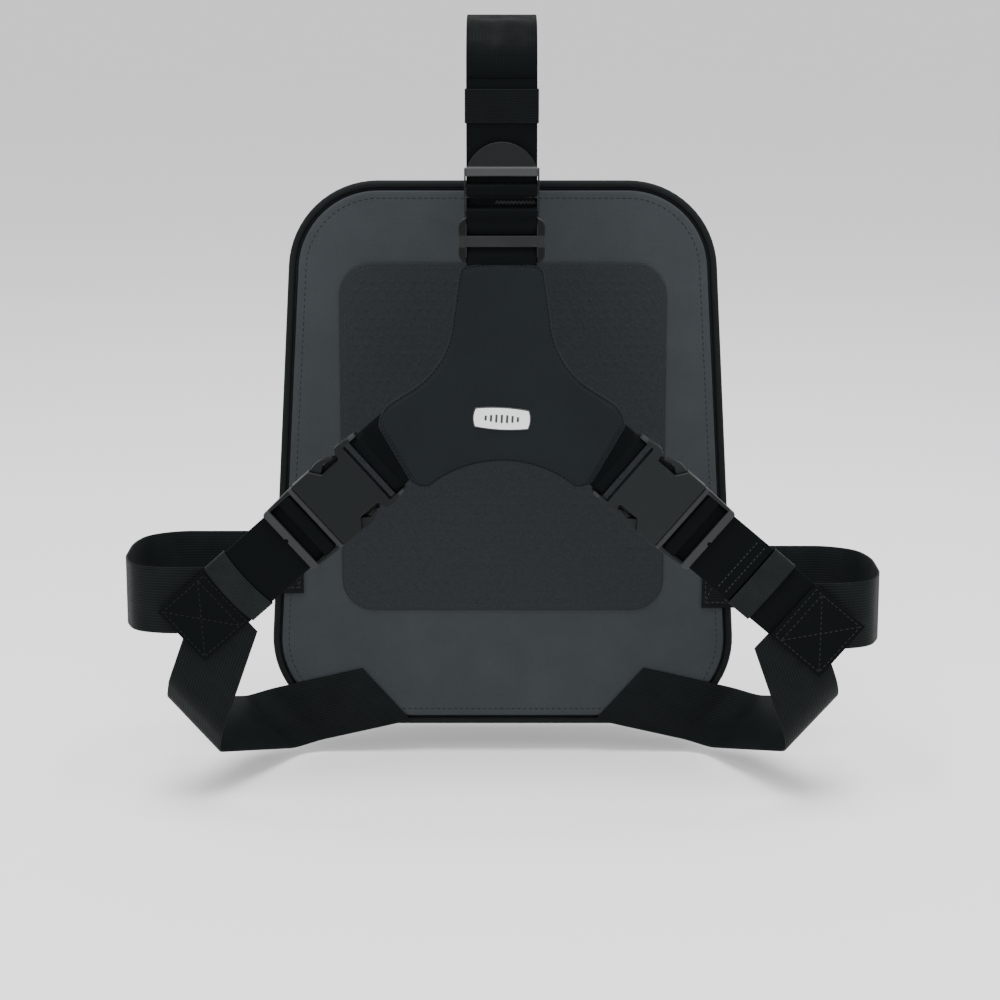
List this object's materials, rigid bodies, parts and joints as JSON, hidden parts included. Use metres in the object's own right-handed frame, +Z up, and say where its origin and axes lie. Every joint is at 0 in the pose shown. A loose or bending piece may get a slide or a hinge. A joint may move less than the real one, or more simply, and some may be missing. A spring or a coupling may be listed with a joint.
{
  "type": "chair back support with strap harness",
  "caption": "Lumbar chair back support held by a three-point harness: padded yoke, top strap with ladder lock, and two buckled side straps on ribbed elastics.",
  "frame": {"origin": "centre of the grip patch on the pad's rear face, which lies on the chair's front face", "axes": "+Z up, +X to the right seen from behind the chair, +Y forwards to the sitter; the harness lies 105 mm behind the origin"},
  "size_m": [0.4962, 0.1933, 0.5027],
  "materials": {
    "webbing": "flat woven polypropylene webbing, black",
    "ribbed_elastic": "ribbed woven elastic, black",
    "yoke_fabric": "smooth laminated knit, charcoal black",
    "foam": "open-cell foam",
    "buckle_plastic": "moulded acetal, fine matte texture",
    "prong_plastic": "moulded acetal, fine matte texture",
    "lock_plastic": "moulded acetal, satin",
    "glide_plastic": "moulded acetal, satin",
    "badge": "white domed badge with plain bars",
    "rear_fabric": "dark grey woven polyester",
    "cover_fabric": "dark grey air-mesh fabric",
    "cushion_fabric": "charcoal soft woven fabric",
    "piping": "black woven piping",
    "grip_rubber": "dark grey rubberised anti-slip fabric",
    "board_plastic": "polypropylene sheet"
  },
  "bodies": {
    "root": {"rear_grip_patch": "grip_rubber", "rear_panel": "rear_fabric", "back_board": "board_plastic", "front_cover": "cover_fabric", "foam_core": "foam", "lumbar_cushion": "cushion_fabric", "edge_piping": "piping", "yoke_outer_panel": "yoke_fabric", "yoke_inner_panel": "yoke_fabric", "yoke_foam": "foam", "yoke_label": "badge", "top_strap": "webbing", "link_webbing": "webbing", "tri_glide": "glide_plastic", "left_yoke_webbing": "webbing", "left_buckle_female": "buckle_plastic", "left_side_elastic": "ribbed_elastic", "left_lower_elastic": "ribbed_elastic", "right_yoke_webbing": "webbing", "right_buckle_female": "buckle_plastic", "right_side_elastic": "ribbed_elastic", "right_lower_elastic": "ribbed_elastic"},
    "ladder_lock": {"ladder_lock": "lock_plastic"},
    "top_keeper": {"top_keeper": "ribbed_elastic"},
    "left_strap_end": {"left_buckle_male": "buckle_plastic", "left_strap": "webbing"},
    "left_keeper": {"left_keeper": "ribbed_elastic"},
    "left_prong_upper": {"left_prong_upper": "prong_plastic"},
    "left_prong_lower": {"left_prong_lower": "prong_plastic"},
    "right_strap_end": {"right_buckle_male": "buckle_plastic", "right_strap": "webbing"},
    "right_keeper": {"right_keeper": "ribbed_elastic"},
    "right_prong_upper": {"right_prong_upper": "prong_plastic"},
    "right_prong_lower": {"right_prong_lower": "prong_plastic"}
  },
  "joints": [
    {"name": "lock_tilt", "type": "hinge", "parent": "root", "child": "ladder_lock", "pos_m": [-0.0008, -0.11195, 0.1637], "axis": [1, 0, 0], "range_deg": [0, 25], "deforming": ["top_strap", "link_webbing"]},
    {"name": "top_keeper_slide", "type": "slide", "parent": "root", "child": "top_keeper", "axis": [0, 0, 1], "range_m": [-0.01, 0.005]},
    {"name": "left_buckle_release", "type": "slide", "parent": "root", "child": "left_strap_end", "axis": [-0.7455, 0, -0.6665], "range_m": [0, 0.034], "deforming": ["left_side_elastic", "left_lower_elastic", "left_prong_upper", "left_prong_lower"]},
    {"name": "left_keeper_slide", "type": "slide", "parent": "left_strap_end", "child": "left_keeper", "axis": [-0.7455, 0, -0.6665], "range_m": [-0.025, 0]},
    {"name": "left_prong_upper_press", "type": "hinge", "parent": "left_strap_end", "child": "left_prong_upper", "pos_m": [-0.12705, -0.1125, -0.01392], "axis": [0, 1, 0], "range_deg": [0, 10], "stiffness_Nm_per_rad": 0.2},
    {"name": "left_prong_lower_press", "type": "hinge", "parent": "left_strap_end", "child": "left_prong_lower", "pos_m": [-0.10439, -0.1125, -0.03927], "axis": [0, -1, 0], "range_deg": [0, 10], "stiffness_Nm_per_rad": 0.2},
    {"name": "right_buckle_release", "type": "slide", "parent": "root", "child": "right_strap_end", "axis": [0.7627, 0, -0.6468], "range_m": [0, 0.034], "deforming": ["right_side_elastic", "right_lower_elastic", "right_prong_upper", "right_prong_lower"]},
    {"name": "right_keeper_slide", "type": "slide", "parent": "right_strap_end", "child": "right_keeper", "axis": [0.7627, 0, -0.6468], "range_m": [-0.025, 0.008]},
    {"name": "right_prong_upper_press", "type": "hinge", "parent": "right_strap_end", "child": "right_prong_upper", "pos_m": [0.12164, -0.1125, -0.01392], "axis": [0, -1, 0], "range_deg": [0, 10], "stiffness_Nm_per_rad": 0.2},
    {"name": "right_prong_lower_press", "type": "hinge", "parent": "right_strap_end", "child": "right_prong_lower", "pos_m": [0.09965, -0.1125, -0.03985], "axis": [0, 1, 0], "range_deg": [0, 10], "stiffness_Nm_per_rad": 0.2}
  ],
  "couplings": [
    {"joint": "left_prong_lower_press", "follows": "left_prong_upper_press", "ratio": 1},
    {"joint": "right_prong_lower_press", "follows": "right_prong_upper_press", "ratio": 1}
  ]
}
